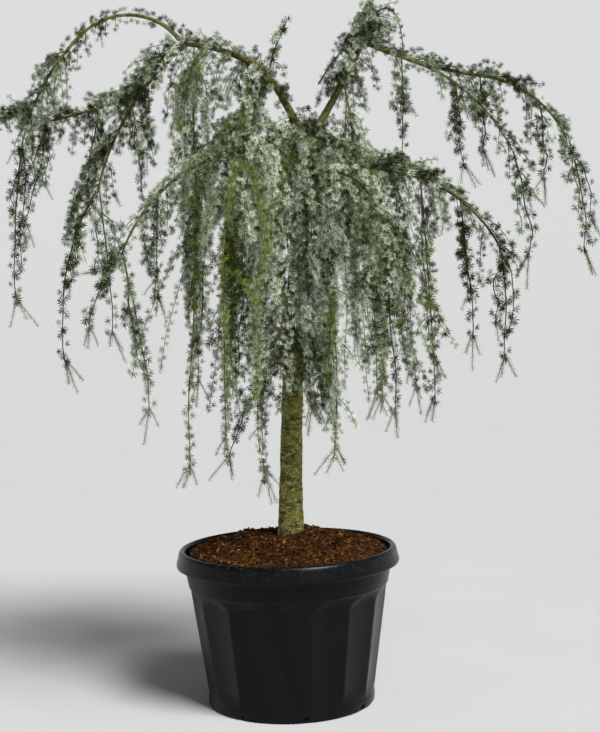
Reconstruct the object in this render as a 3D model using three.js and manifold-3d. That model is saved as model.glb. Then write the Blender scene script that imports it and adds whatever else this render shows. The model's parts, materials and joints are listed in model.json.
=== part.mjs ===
// A weeping blue cedar, grown as a standard in a round fluted nursery pot.
//
// Units are millimetres and +Z is up. The origin is the centre of the pot's flat underside, +X runs along
// the crown's wide side and -Y is its front.
//
// The tree is told as a set of courses. A course starts on its parent and runs for a length, while its
// climb (degrees above level) and its heading (degrees round the pot, 0 along +X, 90 along +Y) change
// evenly from one end to the other. The trunk and boughs are round tapering solids along their courses.
// The foliage hangs below them as uneven solids that are wide at the shoulder and narrow at the tip.

import * as THREE from 'three';
import { mergeVertices } from 'three/addons/utils/BufferGeometryUtils.js';
import Module from 'manifold-3d';

const wasm = await Module();
wasm.setup();

// ---- sizes -------------------------------------------------------------------------------------------

const FACE_GAP = 0.5; // clearance between neighbours that touch

const POT = {
  height: 555,
  footRadius: 299,
  footHeight: 32,
  baseRadius: 295,
  bodyTopRadius: 351,
  collarHeight: 410,
  collarRadius: 358,
  collarTopRadius: 371,
  lipHeight: 498,
  lipRadius: 401,
  lipTopRadius: 383,
  mouthRadius: 368,
  wall: 6,
  floor: 10,
  flutes: 16,
  fluteDepth: 8,
  facetsPerFlute: 3,
};

const COMPOST = { edgeHeight: 548, moundHeight: 606, roughness: 5 };

const TRUNK = {
  foot: new THREE.Vector3(12, 0, 520),
  length: 1452,
  climb: [88.8, 83.8],
  heading: [0, 0],
  thick: [87, 54],
  flare: 10,
  flareHeight: 90,
};

const LIMB_SIDES = 6;
const LIMB_RINGS = 6;
const TRUNK_SIDES = 12;
const TRUNK_RINGS = 9;
const MASS_SIDES = 7;
const MASS_RING_SHARES = [0.03, 0.18, 0.42, 0.68, 0.93];
const MASS_UNEVEN = 0.17;
const MASS_HOLD = 0.34; // share of its length for which a mass keeps its width, unless it states another
const SHOULDER_SHARE = 0.16;
const TIP_WIDTH = 0.28; // of the full width

// name: [parent, share of the parent's course], length, climb, heading, thickness at start and end
const BOUGHS = {
  left_leader: { from: ['trunk', 1], length: 322, climb: [75, 52], heading: [178, 176], thick: [40, 30] },
  left_leader_top: {
    from: ['left_leader', 1], length: 300, climb: [36, 4], heading: [176, 174], thick: [29, 22],
  },
  left_arch_crest: {
    from: ['left_leader_top', 1], length: 416, climb: [58, -38], heading: [174, 172], thick: [19, 15],
  },
  left_arch_fall: {
    from: ['left_arch_crest', 1], length: 440, climb: [-40, -74], heading: [172, 176], thick: [15, 11],
  },
  left_inner_bough: {
    from: ['left_leader_top', 1], length: 625, climb: [-40, -76], heading: [186, 196], thick: [20, 9],
  },
  left_low_bough: {
    from: ['left_inner_bough', 0.36], length: 390, climb: [-20, -6], heading: [168, 164], thick: [15, 10],
  },
  mid_left_bough: {
    from: ['trunk', 0.93], length: 370, climb: [34, -14], heading: [196, 200], thick: [26, 19],
  },
  mid_left_fall: {
    from: ['mid_left_bough', 1], length: 460, climb: [-24, -68], heading: [200, 204], thick: [18, 10],
  },
  right_leader: { from: ['trunk', 1], length: 432, climb: [58, 62], heading: [2, 0], thick: [34, 26] },
  right_arch_bough: {
    from: ['right_leader', 1], length: 487, climb: [-25, -7], heading: [2, 6], thick: [20, 15],
  },
  right_arch_fall: {
    from: ['right_arch_bough', 1], length: 360, climb: [-14, -66], heading: [6, 4], thick: [15, 10],
  },
  right_second_bough: {
    from: ['right_arch_bough', 0.37], length: 500, climb: [-22, -66], heading: [-12, -12], thick: [15, 9],
  },
  mid_right_bough: {
    from: ['trunk', 0.92], length: 440, climb: [18, -20], heading: [-22, -24], thick: [25, 18],
  },
  mid_right_fall: {
    from: ['mid_right_bough', 1], length: 370, climb: [-22, -62], heading: [-24, -20], thick: [17, 10],
  },
  front_left_bough: {
    from: ['trunk', 0.95], length: 690, climb: [36, -66], heading: [-112, -122], thick: [22, 9],
  },
  front_right_bough: {
    from: ['trunk', 0.88], length: 680, climb: [36, -64], heading: [-68, -58], thick: [22, 9],
  },
  back_left_bough: {
    from: ['trunk', 0.97], length: 900, climb: [54, -62], heading: [130, 118], thick: [26, 10],
  },
  back_right_bough: {
    from: ['trunk', 0.9], length: 900, climb: [56, -62], heading: [50, 62], thick: [26, 10],
  },
};

// name: where it hangs, length, climb, heading, half sizes across and along the heading, and for the
// fuller curtains the share of the length that keeps its width
const MASSES = {
  young_shoot: { from: ['left_leader', 0.87], length: 216, climb: [90, 52], heading: 0, half: [18, 18] },
  left_arch_tip: {
    from: ['left_arch_fall', 1], length: 600, climb: [-78, -91], heading: 180, half: [40, 48],
  },
  left_shoulder_tuft: {
    from: ['left_arch_fall', 0.72], length: 150, climb: [5, -50], heading: 180, half: [26, 28],
  },
  left_low_strand: {
    from: ['left_low_bough', 1], length: 400, climb: [-88, -58], heading: 180, half: [42, 46],
  },
  left_low_drape: {
    from: ['left_low_bough', 0.45], length: 340, climb: [-85, -62], heading: 180, half: [32, 40],
  },
  left_inner_shoulder: {
    from: ['left_leader_top', 1], length: 300, climb: [-12, -74], heading: 182, half: [32, 30],
  },
  left_inner_drape: {
    from: ['left_inner_bough', 0.46], length: 370, climb: [-82, -88], heading: 0, half: [40, 45],
  },
  left_outer_strand: {
    from: ['left_inner_bough', 1], length: 630, climb: [-54, -102], heading: 184, half: [34, 38],
  },
  left_inner_tail: {
    from: ['left_inner_bough', 0.96], length: 520, climb: [-84, -88], heading: 0, half: [36, 46],
  },
  mid_left_tail_outer: {
    from: ['mid_left_fall', 0.9], length: 320, climb: [-48, -78], heading: 190, half: [36, 40],
  },
  mid_left_tail: { from: ['mid_left_fall', 1], length: 540, climb: [-78, -86], heading: 0, half: [36, 40] },
  mid_left_drape: {
    from: ['mid_left_fall', 0.45], length: 350, climb: [-84, -90], heading: 180, half: [46, 46],
  },
  left_long_strand: {
    from: ['mid_left_bough', 1], length: 1080, climb: [-82, -88], heading: 186, half: [48, 50],
  },
  left_curtain_outer: {
    from: ['left_leader_top', 0.86], length: 820, climb: [-88, -90], heading: 180, half: [76, 84], hold: 0.55,
  },
  left_curtain_inner: {
    from: ['left_leader_top', 0.2], length: 980, climb: [-88, -90], heading: 180, half: [84, 90], hold: 0.55,
  },
  low_left_spray: { from: ['trunk', 0.52], length: 480, climb: [-38, -80], heading: 178, half: [26, 32] },
  right_tuft: { from: ['right_leader', 1], length: 125, climb: [72, 82], heading: 0, half: [46, 50] },
  right_long_drape: {
    from: ['right_arch_bough', 0.3], length: 390, climb: [-88, -92], heading: 0, half: [32, 34],
  },
  right_arch_drape: {
    from: ['right_arch_bough', 0.9], length: 260, climb: [-86, -88], heading: 0, half: [34, 38],
  },
  right_fall_drape: {
    from: ['right_arch_fall', 0.52], length: 270, climb: [-84, -88], heading: 0, half: [28, 32],
  },
  right_arch_tip: {
    from: ['right_arch_fall', 1], length: 400, climb: [-72, -92], heading: 0, half: [40, 52],
  },
  right_second_drape: {
    from: ['right_second_bough', 0.36], length: 290, climb: [-84, -88], heading: 0, half: [36, 40],
  },
  right_second_tip: {
    from: ['right_second_bough', 1], length: 370, climb: [-76, -88], heading: -6, half: [42, 54],
  },
  mid_right_shoulder: {
    from: ['mid_right_bough', 0.45], length: 450, climb: [10, -48], heading: -20, half: [52, 42],
  },
  mid_right_drape: {
    from: ['mid_right_fall', 0.45], length: 460, climb: [-84, -88], heading: 0, half: [50, 54],
  },
  mid_right_tip: {
    from: ['mid_right_fall', 1], length: 380, climb: [-82, -95], heading: -10, half: [42, 54],
  },
  mid_right_strand: {
    from: ['mid_right_bough', 1], length: 770, climb: [-86, -89], heading: 0, half: [38, 42],
  },
  right_long_strand: {
    from: ['mid_right_bough', 0.6], length: 800, climb: [-88, -90], heading: 0, half: [56, 58],
  },
  right_curtain_outer: {
    from: ['right_leader', 0.66], length: 880, climb: [-82, -90], heading: 0, half: [84, 84], hold: 0.55,
  },
  right_curtain_inner: {
    from: ['right_leader', 0.3], length: 820, climb: [-56, -91], heading: 66, half: [84, 64], hold: 0.5,
  },
  trunk_front_curtain: {
    from: ['trunk', 0.98], length: 920, climb: [-62, -91], heading: -90, half: [104, 52], hold: 0.5,
  },
  front_left_drape: {
    from: ['front_left_bough', 0.96], length: 760, climb: [-84, -89], heading: -118, half: [72, 58],
  },
  front_left_strand: {
    from: ['front_left_bough', 0.4], length: 1150, climb: [-82, -90], heading: 150, half: [52, 56],
  },
  front_right_drape: {
    from: ['front_right_bough', 0.96], length: 600, climb: [-84, -89], heading: -60, half: [72, 58],
  },
  front_right_strand: {
    from: ['front_right_bough', 0.3], length: 980, climb: [-86, -92], heading: 20, half: [56, 54],
  },
  back_left_drape: {
    from: ['back_left_bough', 0.98], length: 780, climb: [-82, -89], heading: 122, half: [86, 62],
  },
  back_left_strand: {
    from: ['back_left_bough', 0.5], length: 1050, climb: [-84, -90], heading: 150, half: [76, 76],
  },
  back_right_drape: {
    from: ['back_right_bough', 0.98], length: 740, climb: [-82, -89], heading: 58, half: [86, 62],
  },
  back_right_strand: {
    from: ['back_right_bough', 0.5], length: 960, climb: [-84, -90], heading: 30, half: [76, 76],
  },
};

// ---- finishes ----------------------------------------------------------------------------------------

const FINISHES = {
  pot: { color: 0x1a1c1d, roughness: 0.5, metalness: 0 },
  compost: { color: 0x4b2c17, roughness: 0.95, metalness: 0 },
  trunk: { color: 0x6f6a3f, roughness: 0.9, metalness: 0 },
  bough: { color: 0x5c5c2f, roughness: 0.85, metalness: 0 },
  foliage: { color: 0x8ba69d, roughness: 0.9, metalness: 0 },
};

// ---- helpers -----------------------------------------------------------------------------------------

const radians = THREE.MathUtils.degToRad;
const lerp = THREE.MathUtils.lerp;

// A repeatable stream of numbers from 0 to 1 for each name.
function seeded(name) {
  let state = 2166136261;
  for (const letter of name) {
    state = Math.imul(state ^ letter.charCodeAt(0), 16777619);
  }
  return () => {
    state = (state + 0x6d2b79f5) | 0;
    let mixed = Math.imul(state ^ (state >>> 15), 1 | state);
    mixed = (mixed + Math.imul(mixed ^ (mixed >>> 7), 61 | mixed)) ^ mixed;
    return ((mixed ^ (mixed >>> 14)) >>> 0) / 4294967296;
  };
}

// Point and directions at a share of a course: ahead along it, side level across it, rise square to both.
function station(course, share) {
  const pieces = 24;
  const point = course.start.clone();
  const aim = (at) => {
    const climb = radians(lerp(course.climb[0], course.climb[1], at));
    const heading = radians(lerp(course.heading[0], course.heading[1], at));
    const level = Math.cos(climb);
    return {
      ahead: new THREE.Vector3(level * Math.cos(heading), level * Math.sin(heading), Math.sin(climb)),
      side: new THREE.Vector3(-Math.sin(heading), Math.cos(heading), 0),
    };
  };
  for (let i = 0; i < pieces; i++) {
    const middle = (share * (i + 0.5)) / pieces;
    point.addScaledVector(aim(middle).ahead, (share * course.length) / pieces);
  }
  const { ahead, side } = aim(share);
  return { point, ahead, side, rise: ahead.clone().cross(side) };
}

// One closed surface: a first pole, rings of equal count, and a last pole.
function loft(firstPole, rings, lastPole) {
  const sides = rings[0].length;
  const points = [firstPole, ...rings.flat(), lastPole];
  const last = points.length - 1;
  const at = (ring, side) => 1 + ring * sides + (side % sides);
  const faces = [];
  for (let side = 0; side < sides; side++) {
    faces.push(0, at(0, side + 1), at(0, side));
    faces.push(last, at(rings.length - 1, side), at(rings.length - 1, side + 1));
    for (let ring = 0; ring + 1 < rings.length; ring++) {
      faces.push(at(ring, side), at(ring, side + 1), at(ring + 1, side + 1));
      faces.push(at(ring, side), at(ring + 1, side + 1), at(ring + 1, side));
    }
  }
  const geometry = new THREE.BufferGeometry();
  geometry.setAttribute('position', new THREE.Float32BufferAttribute(points.flatMap((p) => p.toArray()), 3));
  geometry.setIndex(faces);
  return geometry;
}

// An oval ring square to a course, with the half sizes given for each of its sides.
function ovalRing(place, across, deep, swell) {
  return swell.map((factor, side) => {
    const turn = (2 * Math.PI * side) / swell.length;
    return place.point.clone()
      .addScaledVector(place.side, across * factor * Math.cos(turn))
      .addScaledVector(place.rise, deep * factor * Math.sin(turn));
  });
}

function toSolid(geometry) {
  const bare = new THREE.BufferGeometry();
  bare.setAttribute('position', geometry.getAttribute('position'));
  bare.setIndex(geometry.getIndex());
  const merged = mergeVertices(bare, 1e-4);
  const vertProperties = new Float32Array(merged.getAttribute('position').array);
  const triVerts = new Uint32Array(merged.getIndex().array);
  return new wasm.Manifold(new wasm.Mesh({ numProp: 3, vertProperties, triVerts }));
}

function toGeometry(solid) {
  const mesh = solid.getMesh();
  const geometry = new THREE.BufferGeometry();
  geometry.setAttribute('position', new THREE.Float32BufferAttribute(mesh.vertProperties, 3));
  geometry.setIndex(Array.from(mesh.triVerts));
  geometry.computeVertexNormals();
  return geometry;
}

// The solid less its neighbours, without the crumbs that a cut leaves.
function cutRound(solid, neighbours) {
  const whole = neighbours.reduce((rest, other) => rest.subtract(other), solid);
  const parts = whole.decompose();
  return parts.reduce((best, part) => (part.volume() > best.volume() ? part : best));
}

// ---- pot and compost ---------------------------------------------------------------------------------

const POT_SIDES = POT.flutes * POT.facetsPerFlute;

// How far a flute is scooped at one side of the pot: nothing on its ridges, all of it between them.
function scoop(side) {
  return side % POT.facetsPerFlute === 0 ? 0 : POT.fluteDepth;
}

function levelRing(radius, height, scooped = 0) {
  return Array.from({ length: POT_SIDES }, (_, side) => {
    const turn = (2 * Math.PI * (side + 0.5 * POT.facetsPerFlute)) / POT_SIDES;
    const reach = radius - scooped * scoop(side);
    return new THREE.Vector3(reach * Math.cos(turn), reach * Math.sin(turn), height);
  });
}

// The inside of the pot: a straight cone behind the flutes, and a wider one above the step at the collar.
const INNER_STEP = { low: POT.collarHeight - 4, high: POT.collarHeight + 10 };

function innerRadius(height) {
  const behindFlutes = POT.wall + POT.fluteDepth;
  if (height <= INNER_STEP.low) {
    return lerp(POT.baseRadius, POT.bodyTopRadius, height / INNER_STEP.low) - behindFlutes;
  }
  const share = (height - INNER_STEP.high) / (POT.height - INNER_STEP.high);
  return lerp(POT.collarRadius - POT.wall, POT.mouthRadius, share);
}

function potGeometry() {
  const rings = [
    levelRing(POT.footRadius - 3, 0),
    levelRing(POT.footRadius, POT.footHeight),
    levelRing(POT.baseRadius, POT.footHeight + 4),
    levelRing(POT.baseRadius + 4, POT.footHeight + 40, 1),
    levelRing(POT.bodyTopRadius - 2, POT.collarHeight - 26, 1),
    levelRing(POT.bodyTopRadius, POT.collarHeight - 4),
    levelRing(POT.collarRadius, POT.collarHeight),
    levelRing(POT.collarTopRadius, POT.lipHeight + 4),
    levelRing(POT.lipRadius, POT.lipHeight),
    levelRing(POT.lipTopRadius + 8, POT.height - 14),
    levelRing(POT.lipTopRadius, POT.height),
    levelRing(POT.mouthRadius, POT.height),
    levelRing(innerRadius(INNER_STEP.high), INNER_STEP.high),
    levelRing(innerRadius(INNER_STEP.low), INNER_STEP.low),
    levelRing(innerRadius(POT.floor), POT.floor),
  ];
  return loft(new THREE.Vector3(0, 0, 0), rings, new THREE.Vector3(0, 0, POT.floor));
}

function compostGeometry() {
  const random = seeded('compost');
  const mound = (share) => {
    const height = lerp(COMPOST.edgeHeight, COMPOST.moundHeight, 1 - share * share);
    const ring = levelRing((innerRadius(COMPOST.edgeHeight) - FACE_GAP) * share, height);
    ring.forEach((point) => point.setZ(point.z + COMPOST.roughness * (random() - 0.5)));
    return ring;
  };
  const bottom = POT.floor + FACE_GAP;
  const rings = [
    levelRing(innerRadius(bottom) - FACE_GAP, bottom),
    levelRing(innerRadius(INNER_STEP.low) - FACE_GAP, INNER_STEP.low),
    levelRing(innerRadius(COMPOST.edgeHeight) - FACE_GAP, COMPOST.edgeHeight),
    mound(0.85),
    mound(0.55),
    mound(0.25),
  ];
  return loft(new THREE.Vector3(0, 0, bottom), rings, new THREE.Vector3(0, 0, COMPOST.moundHeight));
}

// ---- trunk, boughs and foliage -----------------------------------------------------------------------

// A round tapering limb. Its ends and its sides stand out by grow, to make the tool that cuts a neighbour.
function limbGeometry(course, sides, rings, radiusAt, grow = 0) {
  const random = seeded(course.name);
  const places = Array.from({ length: rings }, (_, i) => station(course, i / (rings - 1)));
  places[0].point.addScaledVector(places[0].ahead, -grow);
  places[rings - 1].point.addScaledVector(places[rings - 1].ahead, grow);
  const loops = places.map((place, i) => {
    const radius = radiusAt(i / (rings - 1)) + grow;
    return ovalRing(place, radius, radius, Array.from({ length: sides }, () => 1 + 0.05 * (random() - 0.5)));
  });
  return loft(places[0].point, loops, places[rings - 1].point);
}

// Wide from the shoulder down to the share that it holds its width for, and narrow at the tip.
function fullness(share, hold) {
  const shoulder = Math.sqrt(Math.min(1, share / SHOULDER_SHARE));
  const narrowing = 1 - (1 - TIP_WIDTH) * Math.pow(Math.max(0, (share - hold) / (1 - hold)), 1.3);
  return shoulder * narrowing;
}

function massGeometry(course, grow = 0) {
  const random = seeded(course.name);
  const loops = MASS_RING_SHARES.map((share) => {
    const swell = Array.from({ length: MASS_SIDES }, () => 1 + MASS_UNEVEN * (2 * random() - 1));
    const full = fullness(share, course.hold ?? MASS_HOLD);
    const place = station(course, share);
    return ovalRing(place, course.half[0] * full + grow, course.half[1] * full + grow, swell);
  });
  const top = station(course, 0);
  const tip = station(course, 1);
  top.point.addScaledVector(top.ahead, -grow);
  tip.point.addScaledVector(tip.ahead, grow);
  return loft(top.point, loops, tip.point);
}

const courses = { trunk: { name: 'trunk', start: TRUNK.foot, ...TRUNK } };

function courseFrom(name, spec) {
  const [parent, share] = spec.from;
  const heading = Array.isArray(spec.heading) ? spec.heading : [spec.heading, spec.heading];
  return { ...spec, name, heading, start: station(courses[parent], share).point };
}

function trunkRadius(share) {
  const flare = TRUNK.flare * Math.exp((-share * TRUNK.length) / TRUNK.flareHeight);
  return lerp(TRUNK.thick[0], TRUNK.thick[1], share) / 2 + flare;
}

// ---- assembly ----------------------------------------------------------------------------------------

const tree = new THREE.Group();

function addPiece(name, geometry, finish) {
  const mesh = new THREE.Mesh(geometry, new THREE.MeshStandardMaterial(FINISHES[finish]));
  mesh.name = name;
  tree.add(mesh);
}

const trunkAt = (grow) => toSolid(limbGeometry(courses.trunk, TRUNK_SIDES, TRUNK_RINGS, trunkRadius, grow));
const cutters = [trunkAt(FACE_GAP)];

addPiece('pot', potGeometry(), 'pot');
addPiece('soil', toGeometry(cutRound(toSolid(compostGeometry()), cutters)), 'compost');
addPiece('trunk', toGeometry(trunkAt(0)), 'trunk');

for (const [name, spec] of Object.entries(BOUGHS)) {
  const course = courseFrom(name, spec);
  courses[name] = course;
  const radiusAt = (share) => lerp(spec.thick[0], spec.thick[1], share) / 2;
  const boughAt = (grow) => toSolid(limbGeometry(course, LIMB_SIDES, LIMB_RINGS, radiusAt, grow));
  addPiece(name, toGeometry(cutRound(boughAt(0), cutters)), 'bough');
  cutters.push(boughAt(FACE_GAP));
}

for (const [name, spec] of Object.entries(MASSES)) {
  const course = courseFrom(name, spec);
  addPiece(name, toGeometry(cutRound(toSolid(massGeometry(course)), cutters)), 'foliage');
  cutters.push(toSolid(massGeometry(course, FACE_GAP)));
}

export default tree;
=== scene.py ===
# %% [markdown]
# # A weeping blue cedar in a nursery pot
#
# The tree is a grafted standard: a bare stem with a crown of limbs at its head, from which long strands of
# short blue-grey needles hang down round the stem. The solid model gives the trunk, each limb, the pot and a
# plain solid for every mass of foliage. This lesson reads those solids, and grows bark, twigs and needles in
# their places.

# %% Load the frame
import json
from math import cos, pi, radians, sin, tau

import bpy
import numpy as np
from mathutils import Matrix, Vector


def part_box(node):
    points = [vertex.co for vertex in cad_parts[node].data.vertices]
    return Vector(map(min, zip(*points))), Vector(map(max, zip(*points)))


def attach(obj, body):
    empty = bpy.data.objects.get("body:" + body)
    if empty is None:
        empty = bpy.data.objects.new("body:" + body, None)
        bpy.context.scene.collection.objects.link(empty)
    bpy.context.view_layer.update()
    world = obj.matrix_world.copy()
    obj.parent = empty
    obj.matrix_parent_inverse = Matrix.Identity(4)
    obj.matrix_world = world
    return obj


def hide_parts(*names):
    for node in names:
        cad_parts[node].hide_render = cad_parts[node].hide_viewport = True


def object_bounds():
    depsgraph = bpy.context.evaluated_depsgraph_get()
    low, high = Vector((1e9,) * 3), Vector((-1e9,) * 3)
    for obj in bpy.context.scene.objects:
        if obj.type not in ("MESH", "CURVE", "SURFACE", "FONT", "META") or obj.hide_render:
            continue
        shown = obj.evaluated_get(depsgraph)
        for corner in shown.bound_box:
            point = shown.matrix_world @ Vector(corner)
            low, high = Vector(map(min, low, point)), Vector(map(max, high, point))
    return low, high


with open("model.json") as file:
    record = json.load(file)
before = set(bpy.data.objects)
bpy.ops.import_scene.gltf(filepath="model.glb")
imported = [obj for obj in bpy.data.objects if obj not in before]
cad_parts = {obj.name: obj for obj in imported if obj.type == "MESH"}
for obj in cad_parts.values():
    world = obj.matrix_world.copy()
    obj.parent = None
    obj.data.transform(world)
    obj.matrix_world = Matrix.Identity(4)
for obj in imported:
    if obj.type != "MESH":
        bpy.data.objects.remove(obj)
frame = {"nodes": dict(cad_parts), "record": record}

cad_low, cad_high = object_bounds()
print("the solid model measures", [round(side, 3) for side in cad_high - cad_low], "m")


def nodes_with(slot):
    """The names of the solids that the record gives this finish."""
    return [part["node"] for part in frame["record"]["subparts"] if part["material_slot"] == slot]


BOUGHS = nodes_with("bough_bark")
MASSES = nodes_with("needles")
print(len(BOUGHS), "boughs and", len(MASSES), "masses of foliage")

# %% [markdown]
# ## Camera
#
# The camera stands 4.6 metres in front of the stem, at chest height, and looks slightly down. It could
# be aimed with a Track To constraint, but a matrix built from its three directions also holds the small lean
# of the view, and it stays put when the script is run again.

# %% Camera
CAMERA_PLACE = Vector((0.0266, -4.6, 1.4198))
CAMERA_LEAN = radians(1.7)
CAMERA_TURN = radians(0.55)
CAMERA_DIP = radians(2.71)
CAMERA_LENS = 63.34


def make_camera():
    """Right is level but for the lean, up is square to it, and the view is along +Y before turn and dip."""
    right = Vector((cos(CAMERA_LEAN), 0, -sin(CAMERA_LEAN)))
    up = Vector((sin(CAMERA_LEAN), 0, cos(CAMERA_LEAN)))
    square = Matrix((right, up, right.cross(up))).transposed()
    turned = square @ Matrix.Rotation(-CAMERA_TURN, 3, "Y") @ Matrix.Rotation(-CAMERA_DIP, 3, "X")
    data = bpy.data.cameras.new("camera")
    data.lens = CAMERA_LENS
    camera = bpy.data.objects.new("camera", data)
    camera.matrix_world = Matrix.Translation(CAMERA_PLACE) @ turned.to_4x4()
    bpy.context.scene.collection.objects.link(camera)
    bpy.context.scene.camera = camera
    return camera


camera = make_camera()
print("the camera looks along", [round(part, 3) for part in -camera.matrix_world.col[2].xyz])

# %% [markdown]
# ## Random numbers, meshes and tubes
#
# Everything that grows takes its chances from a stream that belongs to its name, so the tree is the same on
# every run. Every shape is a numpy array of points: a limb, a twig and the pot's wall are all rings of points
# that are joined into a skin and closed at both ends. Thousands of twigs are worked out as one array, which
# is far quicker than one curve object for each of them.

# %% Streams of chance
GOLDEN_TURN = pi * (3 - 5 ** 0.5)


def dice(name):
    """A stream of random numbers that is always the same for the same name."""
    return np.random.default_rng(list(name.encode()))


def unit(vectors):
    """Each vector divided by its own length."""
    return vectors / np.maximum(np.linalg.norm(vectors, axis=-1, keepdims=True), 1e-9)


def smooth_step(low, high, values):
    """0 below low, 1 above high, and an S curve 3t^2 - 2t^3 between them."""
    share = np.clip((values - low) / (high - low), 0, 1)
    return share * share * (3 - 2 * share)


# %% Pieces from arrays
def make_piece(name, points, triangles, finish, slot, smooth=True):
    """A mesh piece at the origin, with its place in its points, that rides on the one body."""
    mesh = bpy.data.meshes.new(name)
    mesh.vertices.add(len(points))
    mesh.vertices.foreach_set("co", np.asarray(points, np.float32).ravel())
    mesh.loops.add(triangles.size)
    mesh.loops.foreach_set("vertex_index", np.asarray(triangles, np.int32).ravel())
    mesh.polygons.add(len(triangles))
    mesh.polygons.foreach_set("loop_start", np.arange(0, triangles.size, 3, dtype=np.int32))
    mesh.polygons.foreach_set("use_smooth", np.full(len(triangles), smooth))
    mesh.materials.append(finish)
    mesh.update(calc_edges=True)
    piece = bpy.data.objects.new(name, mesh)
    bpy.context.scene.collection.objects.link(piece)
    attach(piece, "root")
    print(f"{name}: {len(triangles)} triangles")
    return piece


def close_rings(rings):
    """Skins over many stacks of rings at once, shaped (stack, ring, side, xyz).

    Ring r, side s joins to its neighbours s + 1 and r + 1 with two triangles, and the centre of the first
    and of the last ring closes each end.
    """
    stacks, count, sides, _ = rings.shape
    first = rings[:, 0].mean(axis=1)[:, None]
    last = rings[:, -1].mean(axis=1)[:, None]
    points = np.concatenate([first, rings.reshape(stacks, count * sides, 3), last], axis=1)
    here = 1 + np.arange(count * sides).reshape(count, sides)
    beside = np.roll(here, -1, axis=1)
    walls = [
        np.stack([here[:-1], beside[:-1], beside[1:]], -1),
        np.stack([here[:-1], beside[1:], here[1:]], -1),
    ]
    end = count * sides + 1
    caps = [
        np.stack([np.zeros_like(here[0]), beside[0], here[0]], -1),
        np.stack([np.full_like(here[0], end), here[-1], beside[-1]], -1),
    ]
    one = np.concatenate([part.reshape(-1, 3) for part in walls + caps])
    triangles = one[None] + (np.arange(stacks) * (end + 1))[:, None, None]
    return points.reshape(-1, 3), triangles.reshape(-1, 3)


# %% Frames and tubes along paths
def frames(paths):
    """Directions ahead, side and rise at each point of many paths, shaped (path, point, xyz).

    Ahead is the slope of the path. Side is the direction that the whole path bends away from least, made
    square to ahead, so it never spins. Rise is ahead x side.
    """
    ahead = unit(np.gradient(paths, axis=1))
    least = np.linalg.svd(ahead, full_matrices=False)[2][:, -1]
    least = least * np.where(least @ np.array([0.31, 0.53, 0.79]) < 0, -1, 1)[:, None]
    least = least[:, None]
    side = unit(least - (least * ahead).sum(-1, keepdims=True) * ahead)
    return ahead, side, np.cross(ahead, side)


def tube_rings(paths, radii, sides):
    """Round rings: centre + radius (side cos a + rise sin a), for even steps of the angle a."""
    _, side, rise = frames(paths)
    turn = np.arange(sides) * tau / sides
    wheel = side[:, :, None] * np.cos(turn)[:, None] + rise[:, :, None] * np.sin(turn)[:, None]
    return paths[:, :, None] + np.asarray(radii)[..., None, None] * wheel


def at_share(values, shares):
    """Values at shares 0 to 1 of each path's length, straight between its points."""
    place = np.clip(shares, 0, 1) * (values.shape[1] - 1)
    low = np.minimum(place.astype(int), values.shape[1] - 2)
    rest = (place - low)[..., None]
    before = np.take_along_axis(values, low[..., None], axis=1)
    after = np.take_along_axis(values, low[..., None] + 1, axis=1)
    return before + (after - before) * rest


def path_lengths(paths):
    """The length of each path."""
    return np.linalg.norm(np.diff(paths, axis=1), axis=-1).sum(axis=1)


def walked(line):
    """The length walked from the start of a line to each of its points."""
    return np.concatenate([[0], np.cumsum(np.linalg.norm(np.diff(line, axis=0), axis=1))])


def read_off(at, known, columns):
    """Each column of values, known at some places, read off at others: straight between its neighbours."""
    return np.stack([np.interp(at, known, column) for column in columns.T], -1)


# %% [markdown]
# ## Reading the limbs and masses
#
# A limb of the solid model is a faceted, tapering bar, and a mass is an uneven drop shape. What the growing
# rules need is the line down the middle of each, and how wide it is on the way. Planes across the solid's
# long axis cut it into sections, and the middle of each section is a point on that line. A smooth polynomial
# through those points takes out the facets.

# %% Sections of a solid
def solid_triangles(node):
    """The corners of a solid's triangles, shaped (triangle, corner, xyz)."""
    mesh = frame["nodes"][node].data
    mesh.calc_loop_triangles()
    points = np.empty(len(mesh.vertices) * 3, np.float32)
    mesh.vertices.foreach_get("co", points)
    corners = np.empty(len(mesh.loop_triangles) * 3, np.int32)
    mesh.loop_triangles.foreach_get("vertices", corners)
    return points.reshape(-1, 3)[corners.reshape(-1, 3)].astype(float)


def long_axis(triangles):
    """The direction in which the surface spreads most: the first axis of its area-weighted spread."""
    first, second, third = np.moveaxis(triangles, 1, 0)
    area = np.linalg.norm(np.cross(second - first, third - first), axis=1)
    middle = triangles.mean(axis=1)
    spread = (middle - np.average(middle, axis=0, weights=area)) * np.sqrt(area)[:, None]
    return np.linalg.svd(spread, full_matrices=False)[2][0]


def section(triangles, axis, level):
    """The outline where the plane axis . p = level cuts the solid, as segments (segment, end, xyz)."""
    height = triangles @ axis
    below = height < level
    cut = below.any(axis=1) & ~below.all(axis=1)
    start, end = triangles[cut], np.roll(triangles[cut], -1, axis=1)
    low, high = height[cut], np.roll(height[cut], -1, axis=1)
    crosses = (low < level) != (high < level)
    share = (level - low) / np.where(crosses, high - low, 1)
    return (start + (end - start) * share[..., None])[crosses].reshape(-1, 2, 3)


# %% Courses
SECTIONS = 24
COURSE_POINTS = 33
END_POINTS = 8


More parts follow.
